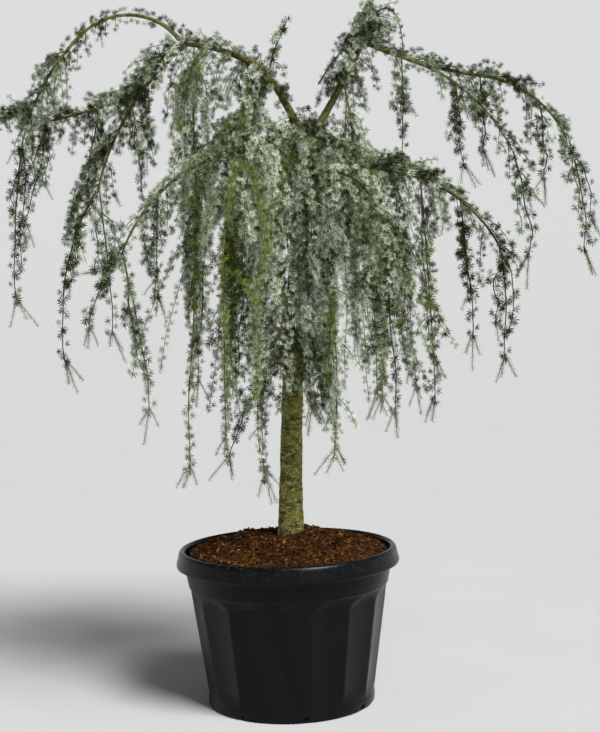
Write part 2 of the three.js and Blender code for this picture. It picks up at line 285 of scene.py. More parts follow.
def read_course(node, trim=(0.07, 0.97), degree=4):
    """A solid's middle line and half widths, at even steps from one end to the other.

    The centre of a section is the mean of its outline, weighted by length. A polynomial of the given degree
    in each coordinate goes through the centres. The half widths are the outline's reach from there to the
    side and along the rise of the line. Only the sections inside the trim, as shares of the solid, are used.
    """
    triangles = solid_triangles(node)
    axis = long_axis(triangles)
    low, high = (triangles @ axis).min(), (triangles @ axis).max()
    levels = low + (high - low) * np.linspace(trim[0], trim[1], SECTIONS)
    outlines = [section(triangles, axis, level) for level in levels]
    centres = np.array([
        np.average(cut.mean(axis=1), axis=0, weights=np.linalg.norm(cut[:, 1] - cut[:, 0], axis=1))
        for cut in outlines
    ])
    fits = [np.polynomial.Polynomial.fit(levels, column, degree) for column in centres.T]
    fine = np.linspace(low, high, 8 * COURSE_POINTS)
    run = walked(np.stack([fit(fine) for fit in fits], -1))
    even = np.interp(np.linspace(0, run[-1], COURSE_POINTS), run, fine)
    line = np.stack([fit(even) for fit in fits], -1)
    _, side, rise = (way[0] for way in frames(line[None]))
    reach = np.array([
        [np.abs((cut.reshape(-1, 3) - centre) @ way).max() for way in ways]
        for cut, centre, *ways in zip(
            outlines, centres, read_off(levels, even, side), read_off(levels, even, rise),
        )
    ])
    return {"name": node, "line": line, "half": read_off(even, levels, reach), "length": run[-1]}


def turned_round(course):
    """The same course from its other end."""
    return {**course, "line": course["line"][::-1], "half": course["half"][::-1]}


trunk = read_course("trunk", trim=(0.01, 0.99))
if trunk["line"][0, 2] > trunk["line"][-1, 2]:
    trunk = turned_round(trunk)
limbs = {}
for name in BOUGHS:
    limb = read_course(name)
    thick_first = limb["half"][:END_POINTS].sum() > limb["half"][-END_POINTS:].sum()
    limbs[name] = limb if thick_first else turned_round(limb)
print("the trunk is", round(trunk["length"], 3), "m long")
print("boughs in metres", {name: round(limb["length"], 2) for name, limb in limbs.items()})

# %% [markdown]
# A mass hangs from one of the limbs, so the end of its line that is nearest to a limb is its start. The
# solids say by their places which limb that is, so no list of joints is needed here.

# %% Hang each mass
wood = {"trunk": trunk, **limbs}


def nearest_limb(point):
    """The limb whose middle line passes nearest to a point, the share along it and the distance."""
    found = [(np.linalg.norm(limb["line"] - point, axis=1), name) for name, limb in wood.items()]
    distance, name = min(found, key=lambda pair: pair[0].min())
    return name, distance.argmin() / (COURSE_POINTS - 1), distance.min()


masses = {}
for name in MASSES:
    mass = read_course(name, trim=(0.03, 0.97), degree=3)
    ends = [nearest_limb(mass["line"][place])[2] for place in (0, -1)]
    masses[name] = mass if ends[0] < ends[1] else turned_round(mass)
    limb, share, _ = nearest_limb(masses[name]["line"][0])
    print(name, "hangs from", limb, "at", round(float(share), 2), "for", round(mass["length"], 2), "m")

# %% [markdown]
# ## Finishes
#
# Each finish is a small tree of shader nodes on Object coordinates, which are metres here, so a pattern has
# its real size. Noise at two scales mixes the colours, and a finer one gives the bump. Painted textures would
# show more, but they would have to be drawn by hand.

# %% Node helpers
def new_finish(name, roughness, gloss=0.2):
    """A material, its node tree and its Principled shader, with the gloss as a share of full reflection."""
    material = bpy.data.materials.new(name)
    material.use_nodes = True
    tree = material.node_tree
    shader = tree.nodes["Principled BSDF"]
    shader.inputs["Roughness"].default_value = roughness
    shader.inputs["Specular IOR Level"].default_value = gloss
    return material, tree, shader


def object_noise(tree, scale, detail=4.0, stretch=(1, 1, 1), distortion=0.0):
    """Noise of about 1 / scale metres, stretched along the axes."""
    place = tree.nodes.new("ShaderNodeTexCoord")
    mapping = tree.nodes.new("ShaderNodeMapping")
    mapping.inputs["Scale"].default_value = stretch
    noise = tree.nodes.new("ShaderNodeTexNoise")
    noise.inputs["Scale"].default_value = scale
    noise.inputs["Detail"].default_value = detail
    noise.inputs["Distortion"].default_value = distortion
    tree.links.new(place.outputs["Object"], mapping.inputs["Vector"])
    tree.links.new(mapping.outputs["Vector"], noise.inputs["Vector"])
    return noise.outputs["Fac"]


def colour_ramp(tree, fac, stops):
    """A colour for each value: stops is a list of (place, (red, green, blue))."""
    ramp = tree.nodes.new("ShaderNodeValToRGB")
    while len(ramp.color_ramp.elements) < len(stops):
        ramp.color_ramp.elements.new(0.5)
    for element, (place, colour) in zip(ramp.color_ramp.elements, stops):
        element.position = place
        element.color = (*colour, 1)
    tree.links.new(fac, ramp.inputs["Fac"])
    return ramp.outputs["Color"]


def mix_colour(tree, fac, first, second, blend="MIX"):
    """Two colours mixed by a factor."""
    mix = tree.nodes.new("ShaderNodeMix")
    mix.data_type = "RGBA"
    mix.blend_type = blend
    for socket, value in (("Factor", fac), ("A", first), ("B", second)):
        target = next(one for one in mix.inputs if one.name == socket and one.enabled)
        if isinstance(value, bpy.types.NodeSocket):
            tree.links.new(value, target)
        else:
            target.default_value = value
    return next(one for one in mix.outputs if one.enabled)


def add_bump(tree, shader, height, depth):
    """A bump from a height of 0 to 1, which stands for depth metres."""
    bump = tree.nodes.new("ShaderNodeBump")
    bump.inputs["Distance"].default_value = depth
    tree.links.new(height, bump.inputs["Height"])
    tree.links.new(bump.outputs["Normal"], shader.inputs["Normal"])


# %% [markdown]
# ## The pot
#
# The pot is moulded black plastic: a flat foot band, fifteen wide scoops that end in arches under a smooth
# collar, and a lip that flares out and down. It could be turned with a Screw modifier and dented afterwards,
# but the scoops are a formula of height and angle, so the whole wall is one grid of rings.

# %% The pot's outline
_, pot_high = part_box("pot")
RIM = pot_high.x
POT_HEIGHT = pot_high.z
# shares of the rim's radius and of the height, from the underside up the outside and down the inside
POT_OUTLINE = np.array([
    (0.30, 0.0), (0.60, 0.0), (0.735, 0.0), (0.745, 0.004), (0.7475, 0.012), (0.7485, 0.052), (0.746, 0.058),
    (0.7445, 0.061), (0.744, 0.068), (0.882, 0.762), (0.889, 0.766), (0.8965, 0.772), (0.898, 0.78),
    (0.925, 0.884), (0.934, 0.891), (0.985, 0.893), (0.996, 0.897), (0.9995, 0.905), (0.998, 0.915),
    (0.979, 0.972), (0.973, 0.986), (0.963, 0.996), (0.950, 1.0), (0.934, 0.999), (0.924, 0.994),
    (0.919, 0.984), (0.915, 0.89), (0.838, 0.74), (0.69, 0.03), (0.40, 0.025),
])
POT_STEP = 0.009
POT_COLUMNS = 240


def refined(outline, step):
    """An outline with points added so that none is further than step from the next."""
    gaps = np.linalg.norm(np.diff(outline, axis=0), axis=1)
    counts = np.maximum(1, np.ceil(gaps / step)).astype(int)
    runs = [
        first + (last - first) * np.arange(count)[:, None] / count
        for first, last, count in zip(outline[:-1], outline[1:], counts)
    ]
    return np.concatenate([*runs, outline[-1:]])


# %% The pot's scoops, notches and wall
# heights here are shares of the pot's height, depths are metres, and angles are radians from the front
SCOOPS = 15
SCOOP_DEPTH = 0.011
SCOOP_FOOT = (0.058, 0.15)
ARCH_TOP = 0.752
ARCH_DROP = 0.045
ARCH_EDGE = 0.03
NOTCHES = 8
NOTCH_FIRST = 0.28
NOTCH_DEPTH = 0.014
NOTCH_HALF = 0.035
NOTCH_TOP = 0.03
SEAM_PLACE = radians(41)
SEAM_HALF = 0.012
SEAM_HEIGHT = 0.0006


def scoop_depth(height, angle):
    """How far a scoop goes in.

    Across a scoop, from ridge q = -1 to ridge q = 1, it is depth (1 - q^2), so that the ridges are sharp, and
    one scoop is at the very front. It starts under the low arch top - drop q^2 and fades out above the foot.
    """
    across = 2 * ((angle * SCOOPS / tau + 0.5) % 1) - 1
    arch = ARCH_TOP - ARCH_DROP * across ** 2
    under_arch = smooth_step(0, ARCH_EDGE, arch - height)
    above_foot = smooth_step(*SCOOP_FOOT, height)
    return SCOOP_DEPTH * (1 - across ** 2) * under_arch * above_foot


def notch_depth(height, angle):
    """Small drain notches in the foot band, where (across / half width)^4 + (height / top)^4 is below 1."""
    across = ((angle * NOTCHES / tau + NOTCH_FIRST) % 1 - 0.5) * tau / NOTCHES
    inside = (across / NOTCH_HALF) ** 4 + (height / NOTCH_TOP) ** 4
    return NOTCH_DEPTH * (1 - smooth_step(0.7, 1.3, inside))


def pot_rings():
    """The outline turned about Z, less the scoops and notches, plus a thin mould seam on the collar.

    The seam is a ridge height x exp(-(angle from its place / half width)^2).
    """
    outline = refined(POT_OUTLINE * (RIM, POT_HEIGHT), POT_STEP)
    radius, height = outline[:, :1], outline[:, 1:]
    angle = (np.arange(POT_COLUMNS) * tau / POT_COLUMNS)[None]
    outside = np.arange(len(outline))[:, None] < outline[:, 0].argmax() + 1
    share = height / POT_HEIGHT
    seam = SEAM_HEIGHT * np.exp(-(((angle - SEAM_PLACE) / SEAM_HALF) ** 2)) * smooth_step(0.74, 0.76, share)
    reach = radius - outside * (scoop_depth(share, angle) + notch_depth(share, angle) * (share > 0) - seam)
    turn = angle - pi / 2
    return np.stack([reach * np.cos(turn), reach * np.sin(turn), height + 0 * angle], -1)


# %% The pot's finish
# the dust begins at the first share of the pot's height, and would be full at the second
DUST_BAND = (0.90, 1.01)


def pot_finish():
    """Black plastic with a satin gloss, faint flow marks down the wall, and specks of dust near the lip."""
    material, tree, shader = new_finish("black_plastic", 0.32, 0.13)
    flow = object_noise(tree, 6, 5, (3, 3, 0.6))
    base = colour_ramp(tree, flow, [(0.3, (0.0016, 0.0019, 0.0022)), (0.7, (0.0036, 0.004, 0.0044))])
    place = tree.nodes.new("ShaderNodeTexCoord")
    split = tree.nodes.new("ShaderNodeSeparateXYZ")
    tree.links.new(place.outputs["Object"], split.inputs["Vector"])
    band = tree.nodes.new("ShaderNodeMapRange")
    band.inputs["From Min"].default_value = DUST_BAND[0] * POT_HEIGHT
    band.inputs["From Max"].default_value = DUST_BAND[1] * POT_HEIGHT
    tree.links.new(split.outputs["Z"], band.inputs["Value"])
    specks = colour_ramp(tree, object_noise(tree, 70, 6), [(0.52, (0, 0, 0)), (0.74, (0.35, 0.35, 0.35))])
    dust = mix_colour(tree, 1.0, specks, band.outputs["Result"], "MULTIPLY")
    coloured = mix_colour(tree, dust, base, (0.06, 0.055, 0.048, 1))
    tree.links.new(coloured, shader.inputs["Base Color"])
    rough = tree.nodes.new("ShaderNodeMapRange")
    rough.inputs["To Min"].default_value = 0.20
    rough.inputs["To Max"].default_value = 0.34
    tree.links.new(flow, rough.inputs["Value"])
    tree.links.new(rough.outputs["Result"], shader.inputs["Roughness"])
    add_bump(tree, shader, object_noise(tree, 900, 2), 0.0002)
    return material


pot = make_piece("moulded_pot", *close_rings(pot_rings()[None]), pot_finish(), "pot_plastic")
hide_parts("pot")

# %% [markdown]
# ## The compost
#
# The pot is filled with a red-brown mix of peat and bark that rises to a low mound round the stem. The mound
# is a disc of rings with waves of several sizes added to its height. Loose chips of bark lie all over it:
# each is a small bent flake, in one of three colours. They could be scattered by a particle system, but that
# would have to be made real in the end, so the copies are one array from the start.

# %% The mound
_, soil_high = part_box("soil")
MOUND_RADIUS = 0.911 * RIM
MOUND_EDGE = 0.962 * POT_HEIGHT
MOUND_TOP = soil_high.z - 0.004
SOIL_COLUMNS = 180
SOIL_RINGS = 80
LUMP_SIZES = (0.22, 0.09, 0.035, 0.016)
LUMP_HEIGHTS = (0.0045, 0.004, 0.003, 0.0022)
WALL_DIP = 0.016
UNDERSIDE = 0.05


def wave_sum(x, y, name, sizes, heights, count=9):
    """Waves of each size in random directions: the sum of height x sin(k . p + phase) / sqrt(count)."""
    chance = dice(name)
    total = np.zeros(np.broadcast(x, y).shape)
    for size, height in zip(sizes, heights):
        way = chance.uniform(0, tau, count)
        phase = chance.uniform(0, tau, count)
        pitch = tau / (size * chance.uniform(0.7, 1.4, count))
        along = x[..., None] * np.cos(way) + y[..., None] * np.sin(way)
        total = total + height * np.sin(pitch * along + phase).sum(-1) / count ** 0.5
    return total


def mound_height(x, y):
    """A rise (1 - r^2)^0.85 from the edge to the top, a dip along the wall, and lumps of four sizes."""
    share = np.hypot(x, y) / MOUND_RADIUS
    rise = MOUND_EDGE + (MOUND_TOP - MOUND_EDGE) * np.clip(1 - share ** 2, 0, 1) ** 0.85
    lumps = wave_sum(x, y, "mound", LUMP_SIZES, LUMP_HEIGHTS)
    return rise + lumps * (1 - 0.6 * share ** 4) - WALL_DIP * smooth_step(0.93, 1.0, share)


def mound_rings():
    """From a hidden underside out to the wall, then inwards over the lumpy top."""
    turn = np.arange(SOIL_COLUMNS)[None] * tau / SOIL_COLUMNS
    radius = MOUND_RADIUS * np.linspace(1, 0.01, SOIL_RINGS)[:, None]
    x, y = radius * np.cos(turn), radius * np.sin(turn)
    top = np.stack([x, y, mound_height(x, y)], -1)
    under = np.stack([x, y, np.full_like(x, MOUND_EDGE - UNDERSIDE)], -1)[[SOIL_RINGS // 2, 0]]
    return np.concatenate([under, top])


def compost_finish():
    """Moist peat and bark: near black hollows, red-brown crumbs and a few ochre flecks."""
    material, tree, shader = new_finish("compost_mix", 0.9, 0.08)
    crumbs = object_noise(tree, 95, 8, distortion=0.6)
    colour = colour_ramp(tree, crumbs, [
        (0.30, (0.005, 0.0015, 0.0007)), (0.46, (0.025, 0.008, 0.0015)), (0.58, (0.060, 0.021, 0.003)),
        (0.72, (0.14, 0.062, 0.010)),
    ])
    tree.links.new(colour, shader.inputs["Base Color"])
    add_bump(tree, shader, object_noise(tree, 160, 6), 0.006)
    return material


mound = make_piece("compost_mound", *close_rings(mound_rings()[None]), compost_finish(), "compost")
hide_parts("soil")

# %% Bark chips
CHIP_POINTS = np.array([
    (-0.5, -0.35, 0), (0.05, -0.5, 0.12), (0.5, -0.2, 0),
    (0.42, 0.4, 0.05), (-0.1, 0.5, 0.14), (-0.45, 0.3, 0),
])
CHIP_THICKNESS = 0.16
# how far from the stem chips lie, as a share of the mound's radius, and the tilt of most of them
CHIP_REACH = 0.985
CHIP_TILT = 0.5


def scattered(template, triangles, place, axes, size):
    """Copies of a small shape: place + size x (its points in the given axes), as one list of triangles."""
    points = place[:, None] + np.einsum("pk,ikd->ipd", template, axes) * size[:, None, None]
    offset = np.arange(len(place)) * len(template)
    return points.reshape(-1, 3), (triangles[None] + offset[:, None, None]).reshape(-1, 3)


def chip_shape():
    """A six-sided flake with a top and an underside: a fan on each, and two triangles for each edge."""
    top = CHIP_POINTS + (0, 0, CHIP_THICKNESS)
    ring = np.arange(6)
    after = np.roll(ring, -1)
    fan = np.stack([np.zeros(4, int), ring[1:5], ring[2:6]], -1)
    walls = [np.stack([ring, after, after + 6], -1), np.stack([ring, after + 6, ring + 6], -1)]
    return np.concatenate([CHIP_POINTS, top]), np.concatenate([fan[:, ::-1], fan + 6, *walls])


def random_axes(chance, count, lift):
    """Three square directions for each chip: the third leans from +Z by about lift radians."""
    turn = chance.uniform(0, tau, count)
    tilts = [lift * chance.normal(size=count), lift * chance.normal(size=count)]
    lean = unit(np.stack([*tilts, np.ones(count)], -1))
    along = np.stack([np.cos(turn), np.sin(turn), np.zeros(count)], -1)
    along = unit(along - (along * lean).sum(-1, keepdims=True) * lean)
    return np.stack([along, np.cross(lean, along), lean], 1)


def lay_chips(name, count, colours, long):
    """Chips of one colour over the mound, even over its area: size = long x U^1.6, so more are small."""
    chance = dice(name)
    reach = MOUND_RADIUS * CHIP_REACH * np.sqrt(chance.uniform(0.008, 1, count))
    turn = chance.uniform(0, tau, count)
    x, y = reach * np.cos(turn), reach * np.sin(turn)
    size = long * chance.uniform(0.35, 1.0, count) ** 1.6
    place = np.stack([x, y, mound_height(x, y) + 0.05 * size], -1)
    axes = random_axes(chance, count, CHIP_TILT) * np.array([1, 0.5, 0.7])[:, None]
    material, tree, shader = new_finish(name, 0.85, 0.1)
    tree.links.new(colour_ramp(tree, object_noise(tree, 60, 5), colours), shader.inputs["Base Color"])
    add_bump(tree, shader, object_noise(tree, 400, 3), 0.0006)
    return make_piece(name, *scattered(*chip_shape(), place, axes, size), material, "compost", smooth=False)


lay_chips("dark_chips", 1200, [(0.35, (0.008, 0.003, 0.0015)), (0.7, (0.028, 0.011, 0.004))], 0.022)
lay_chips("red_chips", 1800, [(0.35, (0.030, 0.009, 0.0018)), (0.7, (0.070, 0.023, 0.0035))], 0.019)
lay_chips("ochre_chips", 750, [(0.35, (0.095, 0.045, 0.010)), (0.7, (0.20, 0.115, 0.032))], 0.018)

# %% [markdown]
# ## Bark
#
# The stem's bark is smooth and olive, mottled with paler grey-green plates and crossed by fine rings. The
# older limbs are browner, and the young ones that arch outwards are greener. Each limb is a tube along its
# course whose radius carries low swellings and rings, so that its outline is uneven as well as its shading.
# A displacement texture could do the same, but a formula keeps the limb's own length and angle.

# %% Bark skins
# lengths of the waves in metres, and their heights as shares of the limb's radius
SWELLINGS = ((0.16, 0.03), (0.06, 0.022), (0.022, 0.016), (0.011, 0.009))
RING_PITCH = 0.047
RING_DRIFT = 0.21
RING_HEIGHT = 0.03


def bark_relief(run, turn, radius, name, strength):
    """Swellings, plates and ring scars over the length run and the angle turn, in metres.

    Waves a sin(k run + m turn + phase), with whole numbers m so that they meet at the seam, plus narrow rings
    where a wave along the run is near its crest.
    """
    chance = dice(name)
    total = np.zeros(np.broadcast(run, turn).shape)
    for size, height in SWELLINGS:
        for _ in range(5):
            whole = chance.integers(0, 3) if size > 0.1 else chance.integers(1, 7)
            pitch = tau / (size * chance.uniform(0.7, 1.5))
            total = total + height * np.sin(pitch * run + whole * turn + chance.uniform(0, tau)) / 2.2
    rings = np.sin(run * tau / RING_PITCH + 1.5 * np.sin(run * tau / RING_DRIFT) + 0.25 * np.sin(turn))
    total = total + RING_HEIGHT * smooth_step(0.9, 1.0, rings)
    return strength * total * radius


def bark_skin(course, radii, sides, step, strength, overlap=0.0):
    """Rings a step apart along a course, begun an overlap early, with the relief added to the radius."""
    line = course["line"]
    if overlap:
        line = np.concatenate([[line[0] - overlap * unit(line[1] - line[0])], line])
        radii = np.concatenate([radii[:1], radii])
    run = walked(line)
    even = np.linspace(0, run[-1], max(8, int(run[-1] / step)))
    path = read_off(even, run, line)
    thick = np.interp(even, run, radii)
    turn = np.arange(sides) * tau / sides
    relief = bark_relief(even[:, None], turn[None], thick[:, None], course["name"], strength)
    rings = tube_rings(path[None], thick[None], sides)[0]
    outward = unit(rings - path[:, None])
    return rings + outward * relief[..., None]


# %% Bark finishes
def bark_finish(name, dark, mid, pale, patch, plates=0.5, stretch=(1, 1, 1)):
    """Mottled bark: dark and mid tones in patches, pale plates over them, and fine rings in the bump."""
    material, tree, shader = new_finish(name, 0.82)
    broad = object_noise(tree, patch, 6, stretch, 0.4)
    base = colour_ramp(tree, broad, [(0.36, dark), (0.62, mid)])
    plate = colour_ramp(tree, object_noise(tree, patch * 2.6, 7, stretch, 1.2), [
        (0.50, (0, 0, 0)), (0.60, (plates, plates, plates)),
    ])
    coloured = mix_colour(tree, plate, base, (*pale, 1))
    fine = colour_ramp(tree, object_noise(tree, 260, 4, (1, 1, 2.5)), [
        (0.35, (0.62, 0.62, 0.62)), (0.65, (1.15, 1.15, 1.15)),
    ])
    tree.links.new(mix_colour(tree, 1.0, coloured, fine, "MULTIPLY"), shader.inputs["Base Color"])
    add_bump(tree, shader, object_noise(tree, 170, 6, (1, 1, 3)), 0.0016)
    return material


stem_bark = bark_finish(
    "stem_bark", (0.042, 0.040, 0.007), (0.165, 0.158, 0.030), (0.36, 0.35, 0.13), 20, 0.75, (1, 1, 1.9),
)
old_bark = bark_finish(
    "old_bough_bark", (0.040, 0.034, 0.008), (0.105, 0.098, 0.022), (0.20, 0.19, 0.07), 26,
)
green_bark = bark_finish(
    "young_bough_bark", (0.042, 0.046, 0.008), (0.140, 0.150, 0.034), (0.30, 0.32, 0.12), 22,
)

# %% The trunk
TRUNK_SIDES = 56
FACETS_ROUNDED = 0.985


def domed(radii, count=2):
    """Radii whose last few close in, so that a limb's end is round."""
    radii = radii.copy()
    radii[-count:] = radii[-count:] * np.sqrt(1 - np.linspace(0.2, 0.9, count) ** 2)
    return radii


trunk["radii"] = trunk["half"].mean(axis=1) * FACETS_ROUNDED
trunk_rings = bark_skin(trunk, domed(trunk["radii"]), TRUNK_SIDES, 0.0065, 0.55)
trunk_piece = make_piece("trunk_bark", *close_rings(trunk_rings[None]), stem_bark, "trunk_bark")
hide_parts("trunk")

# %% The boughs
THINNEST = 0.003
INTO_PARENT = 0.012
YOUNG_BOUGHS = {
    "left_arch_crest", "left_arch_fall", "left_low_bough", "right_arch_bough", "right_arch_fall",
    "right_second_bough", "mid_left_bough", "mid_right_bough",
}
for name, limb in limbs.items():
    steps = np.arange(COURSE_POINTS)
    taper = np.polynomial.Polynomial.fit(steps, limb["half"].min(axis=1), 1)
    limb["radii"] = np.maximum(taper(steps), THINNEST) * np.linspace(1, 0.7, COURSE_POINTS)
    sides = 18 if limb["radii"][0] > 0.009 else 12
    rings = bark_skin(limb, domed(limb["radii"]), sides, 0.006, 0.9, overlap=INTO_PARENT)
    bark = green_bark if name in YOUNG_BOUGHS else old_bark
    piece = make_piece(f"{name}_bark", *close_rings(rings[None]), bark, "bough_bark")
    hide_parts(name)

# %% [markdown]
# ## Growing the strands
#
# A weeping cedar makes long limp strands that hang from its limbs. Each strand carries side strands that
# leave it, arch over and hang beside it, and all of them are studded with short spurs that end in a rosette
# of needles. The rule below grows a mass of foliage the same way. One main strand follows the middle of the
# mass from its limb to its tip. Others leave it at random heights and swing out towards the skin of the
# mass, so the mass keeps its outline but stays open between the strands. Combed hair could do this too, but
# a formula knows the outline of each mass and keeps its strands inside it.

# %% Strands inside a mass
STRAND_POINTS = 12


def smooth_noise(chance, count, points, waves=3):
    """Slow sways for each strand: a sum of sines along it, each about 1 high, in two directions."""
    share = np.linspace(0, 1, points)
    pitch = chance.uniform(0.6, 2.6, (count, 2, waves, 1))
    phase = chance.uniform(0, tau, (count, 2, waves, 1))
    return (np.sin(pitch * tau * share + phase) - np.sin(phase)).sum(axis=2) / waves


def strands_in(mass, starts, ends, offsets, sway, chance):
    """Strands that run between two shares of a mass.

    Point = middle line + swing x half widths x offset + sway, where swing goes from 0 at the strand's own
    start to 1 at three tenths of its length, so that every strand leaves from the main one.
    """
    count = len(starts)
    line, half = mass["line"][None], mass["half"][None]
    _, side, rise = frames(line)
    own = np.linspace(0, 1, STRAND_POINTS)[None]
    share = starts[:, None] + (ends - starts)[:, None] * own
    repeat = [np.repeat(values, count, axis=0) for values in (line, half, side, rise)]
    middle, width, across, deep = (at_share(values, share) for values in repeat)
    swing = smooth_step(0, 0.3, own)[..., None]
    reach = swing * width * offsets[:, None]
    wobble = smooth_noise(chance, count, STRAND_POINTS) * sway * own[:, None]
    reach = reach + wobble.transpose(0, 2, 1)
    return middle + across * reach[..., :1] + deep * reach[..., 1:]


def disc(chance, count):
    """Random places in a disc of radius 1, even over its area."""
    radius = np.sqrt(chance.uniform(0, 1, count))
    turn = chance.uniform(0, tau, count)
    return np.stack([radius * np.cos(turn), radius * np.sin(turn)], -1)


# %% Strands that grow free
def grow(starts, aims, lengths, droop, chance, points=9, sway=0.13, bend=0.5):
    """Twigs that start along their aim and turn down: each step goes along (1 - w) aim + w down.

    The weight w is the twig's droop times the share of the length to the power bend, and a level sway is
    added that grows with the same share.
    """
    share = (np.arange(points - 1) + 0.5) / (points - 1)
    weight = droop[:, None, None] * share[None, :, None] ** bend
    level = smooth_noise(chance, len(starts), points - 1, 2).transpose(0, 2, 1) * sway
    sideways = np.concatenate([level, 0 * level[..., :1]], -1) * share[None, :, None]
    steps = unit((1 - weight) * aims[:, None] + weight * np.array([0, 0, -1.0]) + sideways)
    steps = steps * (lengths / (points - 1))[:, None, None]
    return np.concatenate([starts[:, None], starts[:, None] + np.cumsum(steps, axis=1)], axis=1)


def spokes(ahead, side, rise, turn, lean):
    """Directions away from a line: side cos turn + rise sin turn + lean x ahead, made one long."""
    return unit(side * np.cos(turn)[..., None] + rise * np.sin(turn)[..., None] + lean * ahead)


def around(limb, shares, turns, forward):
    """Places on a limb's line and spokes from them: side is ahead x up, and rise, side x ahead, points up."""
    line = limb["line"][None]
    ahead, _, _ = frames(line)
    level = unit(np.cross(ahead, np.array([0, 0, 1.0])))
    over = np.cross(level, ahead)
    place, *ways = (at_share(values, shares[None])[0] for values in (line, ahead, level, over))
    return place, spokes(*ways, turns, forward)


# %% [markdown]
# Everything that grows is collected in a few lists: strands for the twigs, and rosettes for the needles. Each
# strand is dealt one colour, and all of its rosettes take it, because a strand's needles are all of one age.
# The colours are pale blue with a waxy bloom, blue-green, deep green, and the fresh yellow-green of young
# strands.
# Deep green is dealt far more often close to the stem, where it is painted shade inside the crown.

# %% Gather strands and rosettes
COLOURS = ("pale", "blue", "deep", "young")
# odds of the four colours near the stem, where deep green is painted shade, and far out from it
SHADED = np.array([0.08, 0.16, 0.68, 0.08])
FAR_OUT = np.array([0.08, 0.38, 0.50, 0.04])
SHADE_REACH = 0.12
SHADE_MOST = 0.85
FAR_FROM, FAR_TO = 0.40, 0.60
# radii of a main strand, of a long strand and of a spray
MAIN_RADIUS = 0.0034
LONG_RADIUS = 0.0026
SPRAY_RADIUS = 0.0018
# how far twigs, rosettes and shoots may stand out of the solid model's box
TWIG_ROOM = 0.006
NEEDLE_ROOM = 0.018
SHOOT_ROOM = 0.02
# spur of the rosette at the end of a strand, and its size next to the others
END_REACH = 0.002
END_SIZE = 1.1
twigs = []
rosettes = {colour: [] for colour in COLOURS}
shoots = []


def deal_colours(paths, odds, chance):
    """One colour for each strand by the odds given, but deeper greens close to the stem as painted shade, and
    far out from it.

    The painted shade falls off with the distance d from the stem as most x exp(-(d / reach)^2), and the odds
    for far out take over in an S curve.
    """
    middle = paths.mean(axis=1)
    stem = read_off(middle[:, 2], trunk["line"][:, 2], trunk["line"][:, :2])
    away = np.linalg.norm(middle[:, :2] - stem, axis=1)
    # painted shade: deep greens are dealt more often close to the stem
    shade = SHADE_MOST * np.exp(-(away / SHADE_REACH) ** 2)[:, None]
    far = smooth_step(FAR_FROM, FAR_TO, away)[:, None]
    bounds = np.cumsum((1 - shade - far) * np.array(odds) + shade * SHADED + far * FAR_OUT, axis=1)
    return (chance.uniform(0, 1, (len(paths), 1)) > bounds[:, :-1]).sum(axis=1)


def within(points, room):
    """Whether points stay inside the solid model's box, made larger by room."""
    return ((points > np.array(cad_low) - room) & (points < np.array(cad_high) + room)).all(axis=-1)


def add_rosettes(colour_of, place, out, reach, scale, owner=None):
    """Files rosettes under their colours, without those that would stand out of the box."""
    real = within(place + out * reach[:, None], NEEDLE_ROOM)
    for index, colour in enumerate(COLOURS):
        chosen = real & (colour_of == index)
        rosettes[colour].append((place[chosen], out[chosen], reach[chosen], scale[chosen], owner))


def add_strands(paths, thick, odds, spacing, spur, size, chance, owner=None, first=0.04):
    """Collects strands, with rosettes on spurs at every spacing along them and one at the end of each.

    Spur n turns by n golden angles about the strand, leans ahead, and is a little uneven in place and length.
    """
    paths = paths[within(paths, TWIG_ROOM).all(axis=1)]
    many = len(paths)
    colour_of = deal_colours(paths, odds, chance)
    ahead, side, rise = frames(paths)
    radii = thick * np.linspace(1, 0.55, paths.shape[1])[None] * np.ones((many, 1))
    twigs.append((paths, radii, colour_of))
    counts = np.maximum(2, (path_lengths(paths) * (1 - first) / spacing).astype(int))
    step = np.arange(counts.max())[None]
    jitter = 0.5 + 0.3 * chance.uniform(-1, 1, (many, counts.max()))
    share = first + (1 - first) * (step + jitter) / counts[:, None]
    real = step < counts[:, None]
    turn = chance.uniform(0, tau, (many, 1)) + step * GOLDEN_TURN + chance.normal(0, 0.35, share.shape)
    place, *ways = (at_share(values, share) for values in (paths, ahead, side, rise))
    out = spokes(*ways, turn, chance.uniform(0.1, 0.8, share.shape)[..., None])
    reach = spur * chance.uniform(0.4, 1.3, share.shape)
    scale = size * chance.uniform(0.75, 1.15, share.shape)
    colours = np.broadcast_to(colour_of[:, None], share.shape)
    add_rosettes(colours[real], place[real], out[real], reach[real], scale[real], owner)
    tips = np.full(many, END_REACH), np.full(many, END_SIZE * size)
    add_rosettes(colour_of, paths[:, -1], ahead[:, -1], *tips, owner)
    return paths


def tip_shoots(paths, many, longest, chance):
    """Straight shoots that fan out from the ends of strands: ahead + spread x a direction across."""
    ahead, side, rise = frames(paths)
    owner = np.repeat(np.arange(len(paths)), many)
    turn = chance.uniform(0, tau, len(owner))
    spread = chance.uniform(0.3, 0.85, len(owner))
    start = at_share(paths[owner], chance.uniform(0.965, 1.0, (len(owner), 1)))[:, 0]
    out = side[owner, -1] * np.cos(turn)[:, None] + rise[owner, -1] * np.sin(turn)[:, None]
    aim = unit(ahead[owner, -1] + spread[:, None] * out)
    length = longest * chance.uniform(0.5, 1.0, len(owner))
    grown = grow(start, aim, length, 0.15 + 0 * length, chance, points=5, sway=0.06)
    shoots.append(grown[within(grown, SHOOT_ROOM).all(axis=1)])


# %% Grow every mass
# masses up to this half width are single strands with a few beside them
STRAND_HALF = 0.052
LONG_STRAND_PITCH = 0.0245
OPEN_STRAND_PITCH = 0.034
SPRAY_PITCH = 0.085
SPRAY_SPACING = 0.0150
SPRAY_SPUR = 0.008
FRESH_ODDS = (0.26, 0.22, 0.18, 0.34)
TUFT_ODDS = (0.3, 0.38, 0.26, 0.06)
